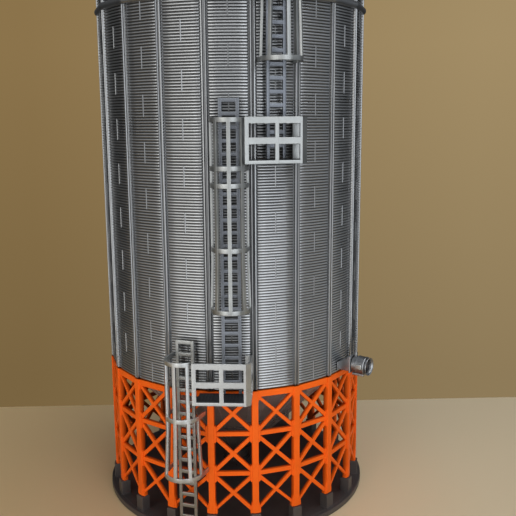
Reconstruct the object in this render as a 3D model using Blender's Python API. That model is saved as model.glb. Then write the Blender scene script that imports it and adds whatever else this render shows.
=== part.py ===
"""Scale model of a tall hopper-bottom grain bin on a braced leg ring.

Metres, +Z up. The origin is on the bin's axis, on the underside of the round
base. The wall is a prism of twenty flat bays; azimuths are measured from -Y
towards +X, and the stiffener lines sit at PHASE + 18 degrees * n.
"""
import math

import bmesh
import bpy
from mathutils import Vector

MM = 0.001

# ---------------------------------------------------------------- dimensions
BAYS = 20
STEP = 2.0 * math.pi / BAYS
PHASE = math.radians(7.684)          # one stiffener line, seen right of the front

GAP = 0.32                           # clearance between separate pieces

# base
BASE_R = 74.3
BASE_T = 3.0
PIER_W = 5.2                         # along the ring
PIER_D = 5.2                         # across the ring
PIER_TOP = 11.0

# leg ring
LEG_W = 3.3
LEG_D = 3.3
LEG_OUT = 71.5                       # outer face of the legs
LEG_BOTTOM = PIER_TOP + GAP
RING_TOP = 76.6
RING_H = 3.2
RING_OUT = 71.5                      # corner radius of the ring beam
RING_IN = 68.6
NODE_Z = (11.4, 32.8, 54.1, 75.4)    # where the diagonals meet the legs
BRACE_W = 2.0
BRACE_T = 2.0
STRUT_H = 2.3
FOOT_W = 5.4                         # flared feet and gusset plates
GUSSET_H = 9.0

# wall
WALL_R = 70.75                       # corner radius of the sheet's outer face
WALL_T = 1.7
WALL_Z0 = 77.0
RING_PITCH = 11.08                   # one ring of sheets, eight corrugations
RINGS = 20
WALL_Z1 = WALL_Z0 + RINGS * RING_PITCH
STIFF_W = 2.5                        # double-ridged upright over each joint line
STIFF_OUT = 71.4
STIFF_GROOVE = 0.5

# joint band between the two halves of the wall
BAND_Z0 = 263.1
BAND_Z1 = 266.5
BAND_OUT = 72.5
BAND_ROUND = 0.95

# roof
ROOF_Z0 = WALL_Z1 + GAP
ROOF_R = 72.9
ROOF_PEAK_R = 8.0
ROOF_PITCH = math.radians(30.0)
ROOF_T = 1.7
CAP_R = 9.8

# hopper
HOPPER_R = 67.2
HOPPER_Z = 76.2
HOPPER_T = 1.6
OUTLET_R = 7.0
OUTLET_Z = 9.0

# ladders: azimuth of each ladder's bay centre
LADDER_AZ = tuple(PHASE + (n + 0.5) * STEP for n in (-2, -1, 0))
LADDER_SHIFT = (-0.25, 0.0, -1.0)    # sideways, off the middle of the bay
LADDER_D0 = 72.9                     # back of the rails, measured from the axis
LADDER_D1 = 74.3
RAIL_C = 4.0
RAIL_W = 1.65
RUNG_H = 1.95
RUNG_PITCH = (6.17, 6.105, 6.1)
LADDER_Z = ((BASE_T + GAP, 103.15), (76.3 + GAP, 218.45), (190.4 + GAP, 313.65))

# cages: each is (turn from its bay, sideways shift, radius, bar angles, hoop levels)
CAGE_C = 77.6                        # centre of the hoops, measured from the axis
HOOP_T = 1.0
HOOP_H = 2.3
BAR_W = 1.85
BAR_T = 1.3
CAGE_FLARE = (1.2, 0.75, 0.75)       # how far the lowest hoops stand out
CAGES = (
    (-5.4, -0.3, 8.8, (-90, -45, 0, 45, 90), (35.9, 65.8, 94.4)),
    (0.0, 0.1, 8.85, (-90, -45, 0, 45, 90), (120.7, 149.7, 179.3, 187.0, 208.6)),
    (0.0, 0.2, 9.2, (-110, -55, 0, 55, 110), (235.3, 264.6, 293.9)),
)

# platforms: each is (turn from its ladder's bay, deck underside, front plate's
# left end, middle post, right end, and the set-back of its chamfered corner)
PLATFORMS = (
    (-3.6, 74.8, -13.7, (-0.6, 1.5), 12.2, 2.3),
    (-4.4, 188.9, -13.1, (1.0, 3.0), 13.9, 3.0),
)
DECK_T = 1.5
PLAT_D0 = 71.7                       # back edge of the deck
PLAT_D1 = 85.0                       # front face of the railing
PANEL_T = 1.3
RAIL_TOP = 21.0                      # top of the handrail over the deck's underside
RAIL_H = 3.0
MID_RAIL = 10.4                      # middle of the second rail
POST_W = 2.1
FLANGE_W = 3.6                       # glued strip of the side return
FLANGE_D = (70.35, 71.5)

# fan, on the bay to the right
FAN_AZ = PHASE + 2.5 * STEP
FAN_Z = 82.2

# ------------------------------------------------------------------ helpers
for obj in list(bpy.data.objects):
    bpy.data.objects.remove(obj, do_unlink=True)

COLLECTION = bpy.context.scene.collection


def material(name, colour, roughness, metallic):
    mat = bpy.data.materials.new(name)
    mat.use_nodes = True
    bsdf = mat.node_tree.nodes["Principled BSDF"]
    bsdf.inputs["Base Color"].default_value = (*colour, 1.0)
    bsdf.inputs["Roughness"].default_value = roughness
    bsdf.inputs["Metallic"].default_value = metallic
    return mat


SILVER = ((0.42, 0.43, 0.45), 0.38, 0.55)
ORANGE = ((0.86, 0.17, 0.02), 0.45, 0.0)
SLATE = ((0.075, 0.08, 0.085), 0.5, 0.0)


def polar(radius, azimuth, z, tangent=0.0):
    """Point at a distance from the axis, with a sideways offset, in mm."""
    s, c = math.sin(azimuth), math.cos(azimuth)
    return Vector((radius * s + tangent * c, -radius * c + tangent * s, z))


def prism(points_a, points_b):
    """Closed solid between two matching rings of points, in mm."""
    bm = bmesh.new()
    a = [bm.verts.new(p) for p in points_a]
    b = [bm.verts.new(p) for p in points_b]
    n = len(a)
    bm.faces.new(a)
    bm.faces.new(list(reversed(b)))
    for i in range(n):
        j = (i + 1) % n
        bm.faces.new((a[i], b[i], b[j], a[j]))
    bmesh.ops.recalc_face_normals(bm, faces=bm.faces)
    return bm


def upright(plan, z0, z1):
    """Vertical prism over a plan outline of (x, y) points."""
    return prism([(x, y, z0) for x, y in plan], [(x, y, z1) for x, y in plan])


def plan_box(azimuth, t0, t1, d0, d1):
    """Plan rectangle in the frame of one bay: sideways t, outward d."""
    return [tuple(polar(d, azimuth, 0.0, t)[:2])
            for t, d in ((t0, d0), (t1, d0), (t1, d1), (t0, d1))]


def box(azimuth, t0, t1, d0, d1, z0, z1):
    return upright(plan_box(azimuth, t0, t1, d0, d1), z0, z1)


def panel(azimuth, outline, d0, d1):
    """Plate in a bay's plane: outline of (t, z) points, from depth d0 to d1."""
    return prism([polar(d0, azimuth, z, t) for t, z in outline],
                 [polar(d1, azimuth, z, t) for t, z in outline])


def ring_solid(profile, count, phase):
    """Turned solid from a closed profile of (radius, z) points."""
    bm = bmesh.new()
    rings = []
    for k in range(count):
        az = phase + 2.0 * math.pi * k / count
        rings.append([bm.verts.new(polar(r, az, z)) for r, z in profile])
    n = len(profile)
    for k in range(count):
        a, b = rings[k], rings[(k + 1) % count]
        for i in range(n):
            j = (i + 1) % n
            bm.faces.new((a[i], b[i], b[j], a[j]))
    bmesh.ops.recalc_face_normals(bm, faces=bm.faces)
    return bm


def to_mesh(bm, name):
    bmesh.ops.scale(bm, vec=(MM, MM, MM), verts=bm.verts)
    bmesh.ops.recalc_face_normals(bm, faces=bm.faces)
    mesh = bpy.data.meshes.new(name)
    bm.to_mesh(mesh)
    bm.free()
    return mesh


def temp_object(bm, name):
    mesh = bpy.data.meshes.new(name)
    bm.to_mesh(mesh)
    obj = bpy.data.objects.new(name, mesh)
    COLLECTION.objects.link(obj)
    return obj


def combine(solids, operation="UNION"):
    """Join or cut a list of solids into one, the first being the base."""
    first = temp_object(solids[0], "first")
    rest = bmesh.new()
    for bm in solids[1:]:
        scrap = bpy.data.meshes.new("scrap")
        bm.to_mesh(scrap)
        rest.from_mesh(scrap)
        bpy.data.meshes.remove(scrap)
    second = temp_object(rest, "second")
    mod = first.modifiers.new("join", "BOOLEAN")
    mod.operation = operation
    mod.solver = "EXACT"
    mod.use_self = True
    mod.object = second
    graph = bpy.context.evaluated_depsgraph_get()
    graph.update()
    result = bmesh.new()
    result.from_mesh(first.evaluated_get(graph).to_mesh())
    for bm in solids:
        bm.free()
    rest.free()
    for obj in (first, second):
        mesh = obj.data
        bpy.data.objects.remove(obj, do_unlink=True)
        bpy.data.meshes.remove(mesh)
    bmesh.ops.remove_doubles(result, verts=result.verts, dist=0.002)
    bmesh.ops.dissolve_degenerate(result, edges=result.edges, dist=0.002)
    bmesh.ops.dissolve_limit(result, angle_limit=math.radians(0.05),
                             verts=result.verts, edges=result.edges)
    bmesh.ops.triangulate(result, faces=[f for f in result.faces if len(f.verts) > 4])
    return result


def add(name, source, look, turn=0.0, smooth=None):
    """Place one named piece; turn is about the bin's axis."""
    mesh = source if isinstance(source, bpy.types.Mesh) else to_mesh(source, name)
    obj = bpy.data.objects.new(name, mesh)
    COLLECTION.objects.link(obj)
    if not mesh.materials:
        mesh.materials.append(None)
    if smooth is not None:
        mesh.shade_smooth()
        mesh.set_sharp_from_angle(angle=math.radians(smooth))
    obj.material_slots[0].link = "OBJECT"
    obj.material_slots[0].material = material(name, *look)
    obj.rotation_euler = (0.0, 0.0, turn)
    return obj


# ------------------------------------------------------------------- base
def build_base():
    disc = upright([tuple(polar(BASE_R, 2 * math.pi * k / 96, 0)[:2]) for k in range(96)],
                   0.0, BASE_T)
    mid = LEG_OUT - LEG_D / 2.0
    piers = [box(PHASE + k * STEP, -PIER_W / 2, PIER_W / 2,
                 mid - PIER_D / 2, mid + PIER_D / 2, BASE_T - 1.0, PIER_TOP)
             for k in range(BAYS)]
    add("base_plate", combine([disc] + piers), SLATE)


# --------------------------------------------------------------- leg ring
def brace_outline(z_a, z_b, x_a, x_b, width, lo, hi):
    """Outline of a straight bar in the bay plane, clipped between lo and hi."""
    run = Vector((x_b - x_a, z_b - z_a)).normalized()
    side = Vector((-run.y, run.x)) * (width / 2.0)
    slope = (z_b - z_a) / (x_b - x_a)
    lift = side.length / abs(run.x)

    def level(x):
        return z_a + slope * (x - x_a)
    return [(lo, level(lo) - lift), (hi, level(hi) - lift),
            (hi, level(hi) + lift), (lo, level(lo) + lift)]


def build_frame_segment():
    """Two legs and the two braced bays to their right, as one piece."""
    solids = []
    mid = LEG_OUT - LEG_D / 2.0
    half = mid * math.sin(STEP / 2.0)
    flat = mid * math.cos(STEP / 2.0)
    clear = half - LEG_W / 2.0 * math.cos(STEP / 2.0)
    for n in (0, 1):
        az = n * STEP
        solids.append(box(az, -LEG_W / 2, LEG_W / 2, LEG_OUT - LEG_D, LEG_OUT,
                          LEG_BOTTOM, RING_TOP))
        # flared foot
        solids.append(panel(az, [(-FOOT_W / 2, LEG_BOTTOM), (FOOT_W / 2, LEG_BOTTOM),
                                 (FOOT_W / 2, LEG_BOTTOM + 2.2), (LEG_W / 2, LEG_BOTTOM + 7.0),
                                 (-LEG_W / 2, LEG_BOTTOM + 7.0), (-FOOT_W / 2, LEG_BOTTOM + 2.2)],
                            mid - 1.2, mid + 1.2))
        for z in NODE_Z[1:3]:
            solids.append(box(az, -FOOT_W / 2, FOOT_W / 2, mid - 1.2, mid + 1.2,
                              z - GUSSET_H / 2, z + GUSSET_H / 2))
    for n in (0, 1):
        az = (n + 0.5) * STEP
        lo = -half + 0.2
        hi = half - 0.2 if n == 0 else clear - GAP - 1.22
        hi_top = half - 0.2 if n == 0 else clear - GAP - 0.3
        t0, t1 = flat - BRACE_T / 2, flat + BRACE_T / 2
        for low, high in zip(NODE_Z[:-1], NODE_Z[1:]):
            foot = max(low, LEG_BOTTOM)
            for a, b in ((foot, high), (high, foot)):
                end = hi_top if b == NODE_Z[3] else hi
                outline = brace_outline(a, b, -half, half, BRACE_W, lo, end)
                outline = [(x, min(max(z, LEG_BOTTOM), RING_TOP - 0.6)) for x, z in outline]
                solids.append(panel(az, outline, t0, t1))
        for z in NODE_Z[1:3]:
            solids.append(panel(az, [(lo, z - STRUT_H / 2), (hi, z - STRUT_H / 2),
                                     (hi, z + STRUT_H / 2), (lo, z + STRUT_H / 2)],
                                t0 - 0.05, t1 + 0.05))
    # ring beam over the two bays, ending short of the next leg
    outer = [polar(RING_OUT, n * STEP, 0) for n in (0, 1, 2)]
    inner = [polar(RING_IN, n * STEP, 0) for n in (0, 1, 2)]
    cut = (2.0 * half - LEG_W / 2.0 - GAP - 0.25) / (2.0 * half)
    # the beam reaches from the first leg's far side to the next leg's near side
    start = -(LEG_W / 2.0) / (2.0 * half)
    back_o = outer[0] + (polar(RING_OUT, -STEP, 0) - outer[0]) * -start
    back_i = inner[0] + (polar(RING_IN, -STEP, 0) - inner[0]) * -start
    end_o = outer[1] + (outer[2] - outer[1]) * cut
    end_i = inner[1] + (inner[2] - inner[1]) * cut
    plan = [back_o, outer[0], outer[1], end_o, end_i, inner[1], inner[0], back_i]
    solids.append(upright([tuple(p[:2]) for p in plan], RING_TOP - RING_H, RING_TOP))
    return to_mesh(combine(solids), "support_frame")


# -------------------------------------------------------------------- wall
def build_wall_segment():
    """Two flat bays with the upright over the line between them."""
    out = [polar(WALL_R, n * STEP, 0) for n in (0, 1, 2)]
    inn = [polar(WALL_R - WALL_T, n * STEP, 0) for n in (0, 1, 2)]
    trim = 0.5 * GAP / (2.0 * WALL_R * math.sin(STEP / 2.0))
    o0 = out[0] + (out[1] - out[0]) * trim
    i0 = inn[0] + (inn[1] - inn[0]) * trim
    o2 = out[2] + (out[1] - out[2]) * trim
    i2 = inn[2] + (inn[1] - inn[2]) * trim
    plan = [o0, out[1], o2, i2, inn[1], i0]
    solids = [upright([tuple(p[:2]) for p in plan], WALL_Z0, WALL_Z1)]
    ridge = (STIFF_W - STIFF_GROOVE) / 2.0
    for z0, z1 in ((WALL_Z0 + 0.3, BAND_Z0 - GAP), (BAND_Z1 + GAP, WALL_Z1 - 0.2)):
        for az, t0, t1 in ((0.0, max(STIFF_GROOVE / 2, GAP / 2), STIFF_W / 2),
                           (STEP, -STIFF_W / 2, -STIFF_GROOVE / 2),
                           (STEP, STIFF_GROOVE / 2, STIFF_W / 2),
                           (2 * STEP, -STIFF_W / 2, -max(STIFF_GROOVE / 2, GAP / 2))):
            solids.append(box(az, t0, t1, WALL_R - 1.0, STIFF_OUT, z0, z1))
    return to_mesh(combine(solids), "wall_segment")


def build_band():
    inner = WALL_R + GAP
    r = BAND_ROUND
    add("joint_band", ring_solid([(inner, BAND_Z0), (BAND_OUT - r, BAND_Z0),
                                  (BAND_OUT, BAND_Z0 + r), (BAND_OUT, BAND_Z1 - r),
                                  (BAND_OUT - r, BAND_Z1), (inner, BAND_Z1)], BAYS, PHASE), SILVER)


# -------------------------------------------------------------------- roof
def build_roof():
    slope = math.tan(ROOF_PITCH)
    rise = (ROOF_R - ROOF_PEAK_R) * slope
    eave_lip = 1.2
    drop = ROOF_T / math.cos(ROOF_PITCH)
    inner_r = WALL_R - WALL_T
    profile = [
        (ROOF_R, ROOF_Z0),
        (ROOF_R, ROOF_Z0 + eave_lip),
        (ROOF_PEAK_R, ROOF_Z0 + eave_lip + rise),
        (ROOF_PEAK_R, ROOF_Z0 + eave_lip + rise - drop),
        (inner_r, ROOF_Z0 + eave_lip + (ROOF_R - inner_r) * slope - drop + 0.9),
        (inner_r, ROOF_Z0),
    ]
    add("roof", ring_solid(profile, BAYS, PHASE), SILVER)
    top = ROOF_Z0 + eave_lip + rise
    # the cap sits over the peak opening with a short skirt
    shell = ring_solid([(CAP_R, top + GAP), (CAP_R, top + 1.6), (0.9, top + 5.2),
                        (0.9, top + GAP)], 40, 0.0)
    plug = upright([tuple(polar(1.2, 2 * math.pi * k / 16, 0)[:2]) for k in range(16)],
                   top + GAP, top + 5.6)
    add("roof_cap", combine([shell, plug]), SILVER, smooth=40)
    # hatch lying on the slope above the upper ladder
    az = LADDER_AZ[2]
    apothem = math.cos(STEP / 2.0)
    foot = Vector((ROOF_R * apothem, ROOF_Z0 + eave_lip))
    along = Vector((-(ROOF_R - ROOF_PEAK_R) * apothem, rise)).normalized()
    normal = Vector((along.y, -along.x))
    a = foot + along * 5.0 + normal * GAP
    b = foot + along * 15.0 + normal * GAP
    outline = [a, b, b + normal * 1.8, a + normal * 1.8]
    add("roof_hatch", prism([polar(p.x, az, p.y, -4.6) for p in outline],
                            [polar(p.x, az, p.y, 4.6) for p in outline]), SILVER)


# ------------------------------------------------------------------ hopper
def build_hopper():
    slope = 1.0
    z_low = HOPPER_Z - (HOPPER_R - OUTLET_R) * slope
    t = HOPPER_T * math.sqrt(2.0)
    profile = [
        (HOPPER_R, HOPPER_Z),
        (OUTLET_R, z_low),
        (OUTLET_R, OUTLET_Z),
        (OUTLET_R - HOPPER_T, OUTLET_Z),
        (OUTLET_R - HOPPER_T, z_low + t - HOPPER_T),
        (HOPPER_R - t, HOPPER_Z),
    ]
    add("hopper_cone", ring_solid(profile, 40, PHASE), SLATE, smooth=30)


# ----------------------------------------------------------------- ladders
def build_ladder(name, az, shift, z0, z1, pitch, wall_ties):
    solids = []
    for side in (-1, 1):
        c = shift + side * RAIL_C
        solids.append(box(az, c - RAIL_W / 2, c + RAIL_W / 2, LADDER_D0, LADDER_D1, z0, z1))
    z = z1 - RUNG_H / 2.0 - 0.02
    while z > z0 + 1.5:
        solids.append(box(az, shift - RAIL_C, shift + RAIL_C, LADDER_D0 + 0.15, LADDER_D1 - 0.15,
                          z - RUNG_H / 2, z + RUNG_H / 2))
        z -= pitch
    face = WALL_R * math.cos(STEP / 2.0)
    for tie in wall_ties:
        for side in (-1, 1):
            c = shift + side * RAIL_C
            solids.append(box(az, c - 0.6, c + 0.6, face + GAP + 0.1, LADDER_D0 + 0.5,
                              tie - 0.8, tie + 0.8))
    add(name, combine(solids), SILVER)


class CageFrame:
    """Places points of a cage: sideways u and outward v from the hoops' centre."""

    def __init__(self, az, turn, shift):
        self.az, self.turn, self.shift = az, math.radians(turn), shift

    def bay(self, u, v):
        """The same point as (sideways, outward) in the frame of its bay."""
        c, s = math.cos(self.turn), math.sin(self.turn)
        return (self.shift + u * c + v * s, CAGE_C + v * c - u * s)

    def point(self, u, v, z):
        t, d = self.bay(u, v)
        return polar(d, self.az, z, t)

    def reach(self, u, face):
        """Outward v at which the arm at sideways u meets the plane d = face."""
        return (face - CAGE_C + u * math.sin(self.turn)) / math.cos(self.turn)


def hoop(place, radius, z, first, last, right_arm):
    """Flat hoop: an arc in front, then straight arms back to the wall."""
    face = WALL_R * math.cos(STEP / 2.0) + GAP + 0.1
    if abs(z - (BAND_Z0 + BAND_Z1) / 2.0) < (BAND_Z1 - BAND_Z0 + HOOP_H) / 2.0 + GAP:
        face = BAND_OUT * math.cos(STEP / 2.0) + GAP
    if z > WALL_Z1 - 3.0:
        face = ROOF_R * math.cos(STEP / 2.0) + GAP
    if z < WALL_Z0:
        face = LEG_OUT
    n = max(2, int(round((last - first) / 22.5)))
    outer, inner = [], []
    for k in range(n + 1):
        a = math.radians(first + (last - first) * k / n)
        outer.append((radius * math.sin(a), radius * math.cos(a)))
        inner.append(((radius - HOOP_T) * math.sin(a), (radius - HOOP_T) * math.cos(a)))
    for line in (outer, inner):
        u = line[0][0]
        line.insert(0, (u, place.reach(u, face)))
        if right_arm:
            u = line[-1][0]
            line.append((u, place.reach(u, face)))
    plan = outer + inner[::-1]
    plan = [tuple(place.point(u, v, 0)[:2]) for u, v in plan]
    return upright(plan, z - HOOP_H / 2, z + HOOP_H / 2)


def cage_bar(place, angle, r_low, r_high, z_low, z_high):
    """Flat upright strip standing on the hoop circle, leaning if radii differ."""
    a = math.radians(angle)
    c = Vector((math.sin(a), math.cos(a)))
    s = Vector((math.cos(a), -math.sin(a)))
    ends = []
    for radius, z in ((r_low, z_low), (r_high, z_high)):
        ring = []
        for u, v in ((-BAR_W / 2, -BAR_T), (BAR_W / 2, -BAR_T), (BAR_W / 2, 0.0), (-BAR_W / 2, 0.0)):
            p = c * (radius + v) + s * u
            ring.append(place.point(p.x, p.y, z))
        ends.append(ring)
    return prism(*ends)


def build_cage(name, az, cage, flare, open_from):
    """Hoops and bars; above open_from the right side is open to a platform."""
    turn, shift, cage_r, angles, levels = cage
    place = CageFrame(az, turn, shift)
    solids = []
    for i, z in enumerate(levels):
        radius = cage_r + (flare if i == 0 else 0.0)
        open_side = open_from is not None and z > open_from
        solids.append(hoop(place, radius, z, angles[0], 56.0 if open_side else angles[-1],
                           not open_side))
    bottom, second, top = levels[0], levels[1], levels[-1]
    inset = 0.12
    for angle in angles:
        hi = top
        if angle == angles[-1] and open_from is not None:
            hi = max(z for z in levels if z <= open_from)
        solids.append(cage_bar(place, angle, cage_r + flare - inset, cage_r - inset,
                               bottom - HOOP_H / 2 + 0.1, second))
        if hi > second:
            solids.append(cage_bar(place, angle, cage_r - inset, cage_r - inset,
                                   second - 0.3, hi + HOOP_H / 2 - 0.1))
    add(name, combine(solids), SILVER)


# --------------------------------------------------------------- platforms
def build_platform(prefix, ladder_az, platform):
    """Deck, and a framed railing with a chamfered corner and a side return."""
    turn, z0, left, mid_post, right, chamfer = platform
    az = ladder_az + math.radians(turn)
    z1 = z0 + DECK_T
    side = right + chamfer                  # outer face of the side return
    front = PLAT_D1 - PANEL_T - GAP         # front edge of the deck
    edge = side - PANEL_T - GAP             # right edge of the deck
    cut = chamfer + 0.4
    deck = [(edge, PLAT_D0), (edge, front - cut), (edge - cut, front),
            (left + 0.3, front), (left + 0.3, 77.2), (left + 2.0, 75.6), (left + 2.0, PLAT_D0)]
    plan = [tuple(polar(d, az, 0, t)[:2]) for t, d in deck]
    add(prefix + "_deck", upright(plan, z0, z1), SLATE)
    top = z0 + RAIL_TOP
    mid = z0 + MID_RAIL
    d0, d1 = PLAT_D1 - PANEL_T, PLAT_D1
    slant = PANEL_T * math.tan(math.radians(22.5))
    corner = [(right - 0.01, d1), (side, d1 - chamfer), (side, d1 - chamfer - 0.6),
              (side - PANEL_T, d1 - chamfer - 0.6), (side - PANEL_T, d1 - chamfer - slant),
              (right - slant, d0), (right - slant - 0.6, d0), (right - slant - 0.6, d1)]
    solids = [upright([tuple(polar(d, az, 0, t)[:2]) for t, d in corner], z0, top)]
    for za, zb in ((z0, z1 + 0.2), (mid - RAIL_H / 2, mid + RAIL_H / 2), (top - RAIL_H, top)):
        solids.append(box(az, left, right - 0.1, d0, d1, za, zb))
        back = PLAT_D0 if za < RING_TOP + GAP else FLANGE_D[0]
        solids.append(box(az, side - PANEL_T, side, back, d1 - chamfer - 0.1, za, zb))
    for a, b in ((left, left + POST_W), mid_post):
        solids.append(box(az, a, b, d0, d1, z0, top))
    foot = max(z0, RING_TOP + GAP)
    solids.append(box(az, side - FLANGE_W, side, FLANGE_D[0], FLANGE_D[1], foot, top))
    if foot > z0:
        solids.append(box(az, side - PANEL_T, side, PLAT_D0, PLAT_D0 + POST_W, z0, foot + 0.5))
    add(prefix + "_railing", combine(solids), SILVER)


# --------------------------------------------------------------------- fan
def turned(az, profile, count=28):
    """Turned solid about the fan's level axis; profile of (outward, radius)."""
    bm = bmesh.new()
    rings = []
    for k in range(count):
        a = 2.0 * math.pi * (k + 0.5) / count
        rings.append([bm.verts.new(polar(d, az, FAN_Z + r * math.cos(a), r * math.sin(a)))
                      for d, r in profile])
    n = len(profile)
    for k in range(count):
        a, b = rings[k], rings[(k + 1) % count]
        for i in range(n):
            j = (i + 1) % n
            bm.faces.new((a[i], b[i], b[j], a[j]))
    bmesh.ops.recalc_face_normals(bm, faces=bm.faces)
    return bm


def drum(az, d0, d1, radius, count=28):
    ring0, ring1 = [], []
    for k in range(count):
        a = 2.0 * math.pi * (k + 0.5) / count
        ring0.append(polar(d0, az, FAN_Z + radius * math.cos(a), radius * math.sin(a)))
        ring1.append(polar(d1, az, FAN_Z + radius * math.cos(a), radius * math.sin(a)))
    return prism(ring0, ring1)


def build_fan():
    az = FAN_AZ
    face = WALL_R * math.cos(STEP / 2.0) + GAP + 0.15
    inner = [polar(face, az, z, t) for t, z in ((-3.4, 78.6), (3.4, 78.6), (3.4, 82.4), (-3.4, 82.4))]
    outer = [polar(77.6, az, z, t) for t, z in ((-4.2, 79.0), (4.2, 79.0), (4.2, 87.0), (-4.2, 87.0))]
    flange = box(az, -4.5, 4.5, 77.5, 78.5, 78.3, 87.2)
    add("fan_duct", combine([prism(inner, outer), flange]), SILVER)
    neck = drum(az, 78.5 + GAP, 81.2, 4.4)
    body = drum(az, 81.0, 86.0, 4.9)
    base = box(az, -3.2, 3.2, 78.5 + GAP, 85.4, FAN_Z - 5.0, FAN_Z - 3.0)
    lug = box(az, -0.6, 0.6, 79.0, 80.2, FAN_Z + 3.9, FAN_Z + 6.6)
    add("fan_housing", combine([body, neck, base, lug]), SILVER, smooth=30)
    bell = turned(az, [(86.0 + GAP, 3.85), (86.7, 4.05), (87.1, 4.6), (87.3, 4.72),
                       (87.5, 4.6), (87.2, 4.0), (86.85, 3.6), (86.0 + GAP, 3.4)])
    disc = drum(az, 86.0 + GAP, 86.6, 3.6)
    add("fan_inlet_bell", combine([bell, disc]), SILVER, smooth=30)
    add("fan_control_box", box(az, -6.1, -4.9 - GAP, 82.3, 85.6, FAN_Z - 0.7, FAN_Z + 2.1), SILVER)


build_base()
frame_mesh = build_frame_segment()
wall_mesh = build_wall_segment()
for k in range(BAYS // 2):
    # polar azimuths run from -Y towards +X, the same sense as a turn about +Z
    add("support_frame_%02d" % (k + 1), frame_mesh, ORANGE, turn=PHASE + 2 * k * STEP)
for k in range(BAYS // 2):
    add("wall_segment_%02d" % (k + 1), wall_mesh, SILVER, turn=PHASE + 2 * k * STEP)
build_band()
build_roof()
build_hopper()
build_ladder("lower_ladder", LADDER_AZ[0], LADDER_SHIFT[0], *LADDER_Z[0], RUNG_PITCH[0],
             wall_ties=(99.0,))
build_ladder("middle_ladder", LADDER_AZ[1], LADDER_SHIFT[1], *LADDER_Z[1], RUNG_PITCH[1],
             wall_ties=(98.0, 160.0, 213.0))
build_ladder("upper_ladder", LADDER_AZ[2], LADDER_SHIFT[2], *LADDER_Z[2], RUNG_PITCH[2],
             wall_ties=(212.0, 255.0, 294.0))
build_cage("lower_ladder_cage", LADDER_AZ[0], CAGES[0], CAGE_FLARE[0], 70.0)
build_cage("middle_ladder_cage", LADDER_AZ[1], CAGES[1], CAGE_FLARE[1], 188.5)
build_cage("upper_ladder_cage", LADDER_AZ[2], CAGES[2], CAGE_FLARE[2], None)
build_platform("lower_platform", LADDER_AZ[1], PLATFORMS[0])
build_platform("upper_platform", LADDER_AZ[2], PLATFORMS[1])
build_fan()
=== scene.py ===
import math
import random

import bmesh
import bpy
from mathutils import Matrix, Vector


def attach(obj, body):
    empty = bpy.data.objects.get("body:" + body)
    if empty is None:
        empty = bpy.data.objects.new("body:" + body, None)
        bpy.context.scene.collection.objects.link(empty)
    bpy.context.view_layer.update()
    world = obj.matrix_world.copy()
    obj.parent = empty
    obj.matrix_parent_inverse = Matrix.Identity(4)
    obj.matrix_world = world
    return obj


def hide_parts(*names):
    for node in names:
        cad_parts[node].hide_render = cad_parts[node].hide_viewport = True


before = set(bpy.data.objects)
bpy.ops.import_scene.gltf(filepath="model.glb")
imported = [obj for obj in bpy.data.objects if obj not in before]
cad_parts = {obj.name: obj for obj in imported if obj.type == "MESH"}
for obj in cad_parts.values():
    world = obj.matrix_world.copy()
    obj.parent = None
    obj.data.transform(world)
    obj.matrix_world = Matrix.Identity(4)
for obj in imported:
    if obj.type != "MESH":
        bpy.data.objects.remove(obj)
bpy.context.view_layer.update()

SCENE = bpy.context.scene
COLLECTION = SCENE.collection
MM = 0.001

# ------------------------------------------------- dimensions, as in the part
BAYS = 20
STEP = 2.0 * math.pi / BAYS
PHASE = math.radians(7.684)
HALF = STEP / 2.0

BASE_R, BASE_T = 74.3, 3.0
PIER_W, PIER_D, PIER_TOP = 5.2, 5.2, 11.0
LEG_W, LEG_D, LEG_OUT, LEG_BOTTOM = 3.3, 3.3, 71.55, 11.15
RING_TOP, RING_H, RING_OUT, RING_IN = 76.6, 3.2, 71.3, 68.6
NODE_Z = (11.4, 32.8, 54.1, 75.4)
BRACE_W, BRACE_T, STRUT_H, FOOT_W, GUSSET_H = 2.0, 2.0, 2.3, 5.4, 9.0

WALL_Z0, RINGS, RING_PITCH = 77.0, 20, 11.08
WALL_Z1 = WALL_Z0 + RINGS * RING_PITCH
CREST = 69.88                      # distance of the crests' plane from the axis
DEPTH = 0.70                       # crest to valley
VALLEY = CREST - DEPTH
BACK = 68.2
WAVE_DEPTH = 0.5                   # of the corrugations between the uprights
BOW = 0.32                         # of a bay's sheets between the uprights
WAVES = 8                          # corrugations per ring of sheets
ROWS = 8                           # rows of points per corrugation
BAND_Z0, BAND_Z1, BAND_OUT = 263.1, 266.5, 72.5

ROOF_Z0 = WALL_Z1 + 0.32
ROOF_R, ROOF_PEAK_R, ROOF_PITCH, ROOF_T, CAP_R = 72.9, 8.0, math.radians(30.0), 1.7, 9.8
EAVE = 1.2

HOPPER_R, HOPPER_Z, HOPPER_T, OUTLET_R, OUTLET_Z = 67.2, 76.2, 1.6, 7.0, 9.0

LADDER_AZ = tuple(PHASE + (n + 0.5) * STEP for n in (-2, -1, 0))
LADDER_D0, LADDER_D1, RAIL_C, RAIL_W, RUNG_H = 72.9, 74.3, 4.0, 1.65, 1.95
LADDER_SHIFT = (-0.25, 0.0, -1.0)
RUNG_PITCH = (6.17, 6.105, 6.1)
LADDER_Z = ((3.32, 103.15), (76.62, 218.45), (190.72, 313.65))
WALL_TIES = ((99.0,), (98.0, 160.0, 213.0), (212.0, 255.0, 294.0))

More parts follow.
